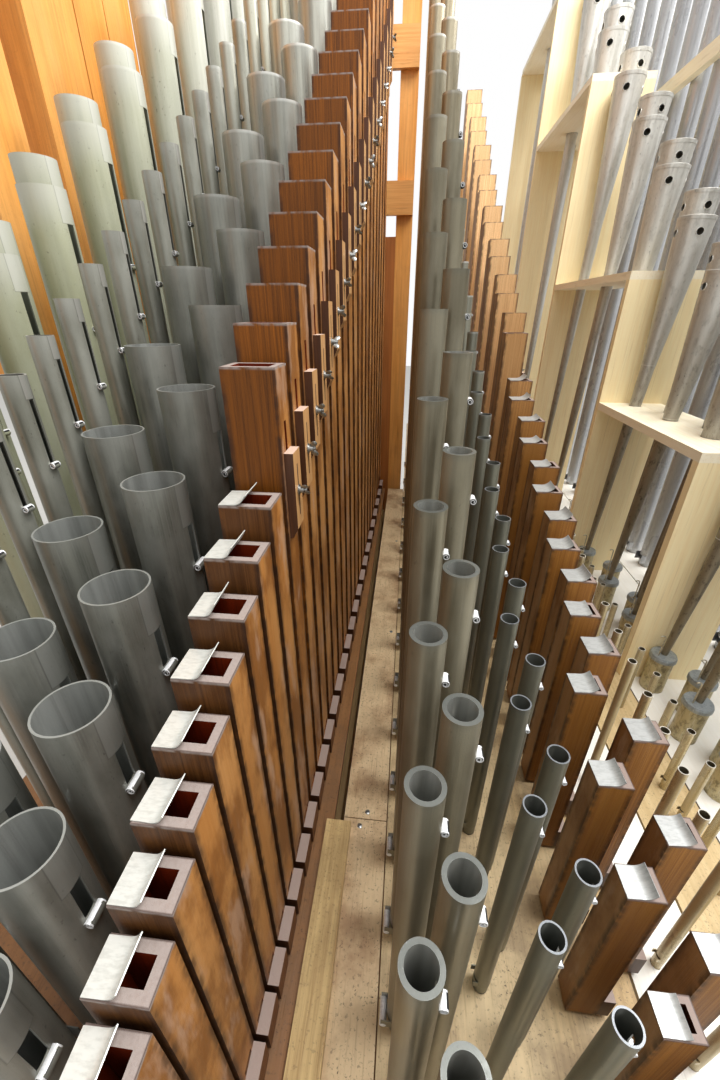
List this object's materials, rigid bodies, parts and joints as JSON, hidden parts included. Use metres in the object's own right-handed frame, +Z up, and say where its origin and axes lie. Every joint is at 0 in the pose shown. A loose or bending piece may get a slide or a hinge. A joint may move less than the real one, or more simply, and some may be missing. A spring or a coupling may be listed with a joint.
{
  "type": "pipe organ (pipework on its windchests and timber frame)",
  "caption": "The inside of a pipe organ: ranks of metal and wooden pipes standing on two windchests, with a pine rack of reed pipes, on a timber frame",
  "frame": {"origin": "middle of the bounding box in plan, on the floor", "axes": "X runs across the ranks to the right, Y along the chests from the treble end to the bass end, Z up"},
  "size_m": [1.86, 3.7398, 3.6226],
  "materials": {
    "frame_timber": "planed softwood, orange with age",
    "chest_timber": "planed pine",
    "speckled_board": "pale board with dark specks and dust",
    "pale_pine": "new pine, straight grain",
    "dark_oak": "oiled oak, dark brown",
    "red_varnish": "reddish-brown varnish",
    "painted_metal": "cream-green paint, worn to grey metal",
    "pipe_metal": "dull grey tin and lead alloy, matt oxide",
    "tan_metal": "mottled tan-grey alloy",
    "flap_metal": "bright sheet",
    "lead_block": "cast grey lead, scratched",
    "spotted_metal": "silver-grey alloy with dark specks",
    "wire": "drawn wire"
  },
  "bodies": {
    "root": {"base_posts": "frame_timber", "long_rails": "frame_timber", "cross_ties": "frame_timber", "side_posts": "frame_timber", "side_top_rail": "frame_timber", "back_post": "frame_timber", "frame_rails": "frame_timber", "back_panel": "frame_timber", "left_windchest": "chest_timber", "right_windchest": "chest_timber", "sliders": "chest_timber", "left_upperboards": "chest_timber", "right_upperboards": "chest_timber", "rack_pillars": "chest_timber", "metal_rackboard": "speckled_board", "wood_rackboard": "speckled_board", "passage_ledger": "chest_timber", "passage_boards": "speckled_board", "loose_batten": "pale_pine", "middle_rackboard": "speckled_board", "pale_rackboard": "pale_pine", "reed_rackboard": "pale_pine", "tall_rackboard": "pale_pine", "painted_pipes": "painted_metal", "string_pipes": "pipe_metal", "flute_pipes": "pipe_metal", "left_wood_pipes": "dark_oak", "left_mouth_caps": "dark_oak", "left_flap_sheets": "flap_metal", "left_tuning_slides": "dark_oak", "thick_pipes": "pipe_metal", "slender_pipes": "pipe_metal", "right_wood_pipes": "red_varnish", "right_mouth_caps": "dark_oak", "right_flap_sheets": "flap_metal", "right_tuning_slides": "dark_oak", "small_pipes": "tan_metal", "tiny_pipes": "tan_metal", "reed_boots": "tan_metal", "reed_blocks": "lead_block", "reed_resonators": "spotted_metal", "tuning_wires": "wire", "rack_uprights": "pale_pine", "rack_shelves": "pale_pine", "tall_pipes": "pipe_metal", "tall_pipe_rail": "pale_pine"}
  },
  "joints": []
}
